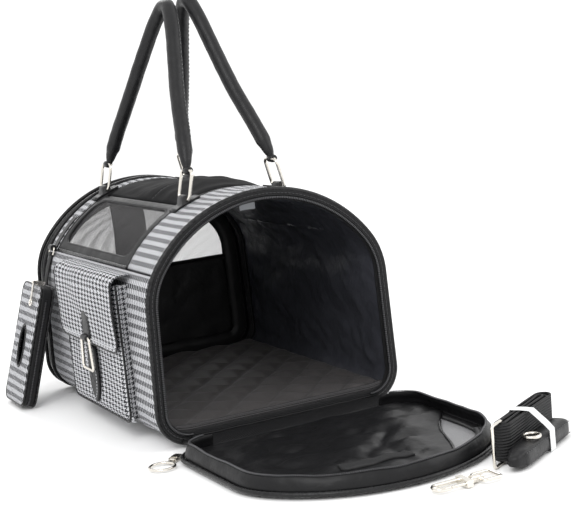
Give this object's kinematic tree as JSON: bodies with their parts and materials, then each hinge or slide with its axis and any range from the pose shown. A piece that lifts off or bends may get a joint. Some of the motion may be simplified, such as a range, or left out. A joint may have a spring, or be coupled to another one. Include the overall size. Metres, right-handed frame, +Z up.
{
  "type": "soft-sided pet transport carrier",
  "caption": "Arched tote-style fabric carrier for a small animal, with zip-down end doors, mesh windows, two carrying handles, a side pocket, a waste-bag pouch and a folded shoulder strap.",
  "frame": {"origin": "on the floor, under the middle of the carrier's tube between its two end rims", "axes": "+Y along the carrier from the open front door to the closed rear door, +X to the right seen from the front, +Z up"},
  "size_m": [0.4324, 0.7696, 0.5078],
  "materials": {
    "houndstooth": "black and white houndstooth weave, padded",
    "black_nylon": "smooth black nylon",
    "lining_nylon": "thin blue-black nylon with a soft sheen",
    "black_mesh": "open knitted mesh",
    "piping": "black leatherette piping",
    "leatherette": "black grained leatherette",
    "pad_fabric": "quilted dark grey fabric",
    "webbing": "black woven webbing",
    "chrome": "polished chrome plate",
    "paper": "matt white paper",
    "board": "stiff board insert",
    "rubber_feet": "matt black rubber"
  },
  "bodies": {
    "bag": {"base_panel": "black_nylon", "base_board": "board", "feet": "rubber_feet", "left_side_panel": "houndstooth", "right_side_panel": "houndstooth", "front_band": "houndstooth", "rear_band": "houndstooth", "left_window": "black_mesh", "right_window": "black_mesh", "left_window_frame": "black_nylon", "right_window_frame": "black_nylon", "top_panel": "black_nylon", "front_edge_piping": "piping", "rear_edge_piping": "piping", "window_piping": "piping", "front_binding": "black_nylon", "rear_binding": "black_nylon", "lining": "lining_nylon", "front_threshold": "black_nylon", "rear_threshold": "black_nylon", "side_pocket": "houndstooth", "pocket_tongue": "leatherette", "pouch_tab": "leatherette", "left_handle_tabs": "leatherette", "right_handle_tabs": "leatherette"},
    "pocket_flap": {"pocket_flap": "houndstooth", "flap_strap": "leatherette", "flap_loop": "chrome"},
    "left_handle": {"left_handle": "leatherette", "left_handle_rings": "chrome"},
    "right_handle": {"right_handle": "leatherette", "right_handle_rings": "chrome"},
    "front_door": {"front_door_rim": "black_nylon", "front_door_panel": "black_nylon", "front_door_mesh": "black_mesh", "front_door_flap": "lining_nylon", "front_door_piping": "piping"},
    "rear_door": {"rear_door_rim": "black_nylon", "rear_door_panel": "black_nylon", "rear_door_mesh": "black_mesh", "rear_door_strip": "black_nylon", "rear_door_piping": "piping"},
    "front_zip_slider": {"front_zip_slider": "chrome"},
    "front_zip_pull": {"front_zip_pull": "chrome"},
    "rear_zip_slider": {"rear_zip_slider": "chrome"},
    "rear_zip_pull": {"rear_zip_pull": "chrome"},
    "pouch": {"pouch_shell": "houndstooth", "pouch_strap": "webbing", "pouch_ring": "chrome"},
    "pouch_zip_slider": {"pouch_zip_slider": "chrome"},
    "pouch_zip_pull": {"pouch_zip_pull": "chrome"},
    "floor_pad": {"quilted_pad": "pad_fabric"},
    "shoulder_strap": {"shoulder_webbing": "webbing", "shoulder_pad": "leatherette", "paper_band": "paper", "strap_links": "chrome"},
    "front_snap_hook": {"front_snap_hook": "chrome"},
    "front_hook_gate": {"front_hook_gate": "chrome"},
    "rear_snap_hook": {"rear_snap_hook": "chrome"},
    "rear_hook_gate": {"rear_hook_gate": "chrome"}
  },
  "joints": [
    {"name": "front_door_hinge", "type": "hinge", "parent": "bag", "child": "front_door", "pos_m": [0, -0.2388, 0.0032], "axis": [-1, 0, 0], "range_deg": [0, 90]},
    {"name": "rear_door_hinge", "type": "hinge", "parent": "bag", "child": "rear_door", "pos_m": [0, 0.2108, 0.0032], "axis": [-1, 0, 0], "range_deg": [0, 90]},
    {"name": "pocket_flap_hinge", "type": "hinge", "parent": "bag", "child": "pocket_flap", "pos_m": [-0.1456, 0, 0.1955], "axis": [0, 1, 0], "range_deg": [0, 100]},
    {"name": "left_handle_swing", "type": "hinge", "parent": "bag", "child": "left_handle", "pos_m": [-0.062, 0, 0.271], "axis": [0, -1, 0], "range_deg": [0, 95]},
    {"name": "right_handle_swing", "type": "hinge", "parent": "bag", "child": "right_handle", "pos_m": [0.062, 0, 0.271], "axis": [0, 1, 0], "range_deg": [0, 95]},
    {"name": "pad_lift_out", "type": "slide", "parent": "bag", "child": "floor_pad", "axis": [0, 0, 1], "range_m": [0, 0.12]},
    {"name": "pouch_swing", "type": "hinge", "parent": "bag", "child": "pouch", "pos_m": [-0.1438, 0.158, 0.203], "axis": [0, 1, 0], "range_deg": [0, 95]},
    {"name": "strap_lift_off", "type": "slide", "parent": "bag", "child": "shoulder_strap", "axis": [0, 0, 1], "range_m": [0, 0.2]},
    {"name": "front_zip_travel", "type": "hinge", "parent": "front_door", "child": "front_zip_slider", "pos_m": [-0.117, -0.2786, 0.0032], "axis": [0, 0, 1], "range_deg": [0, 22]},
    {"name": "front_zip_pull_flip", "type": "hinge", "parent": "front_zip_slider", "child": "front_zip_pull", "pos_m": [-0.15939, -0.25287, 0.0032], "axis": [-0.6392, 0.769, 0], "range_deg": [0, 60]},
    {"name": "rear_zip_travel", "type": "slide", "parent": "bag", "child": "rear_zip_slider", "axis": [0, 0, 1], "range_m": [0, 0.1]},
    {"name": "rear_zip_pull_flip", "type": "hinge", "parent": "rear_zip_slider", "child": "rear_zip_pull", "pos_m": [0.1635, 0.187, 0.0425], "axis": [0, -1, 0], "range_deg": [0, 120]},
    {"name": "pouch_zip_travel", "type": "slide", "parent": "pouch", "child": "pouch_zip_slider", "axis": [0, 1, 0], "range_m": [0, 0.012]},
    {"name": "pouch_zip_pull_flip", "type": "hinge", "parent": "pouch_zip_slider", "child": "pouch_zip_pull", "pos_m": [-0.18031, 0.138, 0.16397], "axis": [0, 1, 0], "range_deg": [0, 120]},
    {"name": "front_hook_swivel", "type": "hinge", "parent": "shoulder_strap", "child": "front_snap_hook", "pos_m": [0.042, -0.545, 0.005], "axis": [-1, 0, 0], "continuous": true},
    {"name": "front_gate_travel", "type": "slide", "parent": "front_snap_hook", "child": "front_hook_gate", "axis": [1, 0, 0], "range_m": [0, 0.008], "stiffness_N_per_m": 60, "springref_m": -0.002},
    {"name": "rear_hook_swivel", "type": "hinge", "parent": "shoulder_strap", "child": "rear_snap_hook", "pos_m": [0.17914, -0.43403, 0.005], "axis": [-0.8517, -0.524, 0], "continuous": true},
    {"name": "rear_gate_travel", "type": "slide", "parent": "rear_snap_hook", "child": "rear_hook_gate", "axis": [0.8517, 0.524, 0], "range_m": [0, 0.008], "stiffness_N_per_m": 60, "springref_m": -0.002}
  ]
}
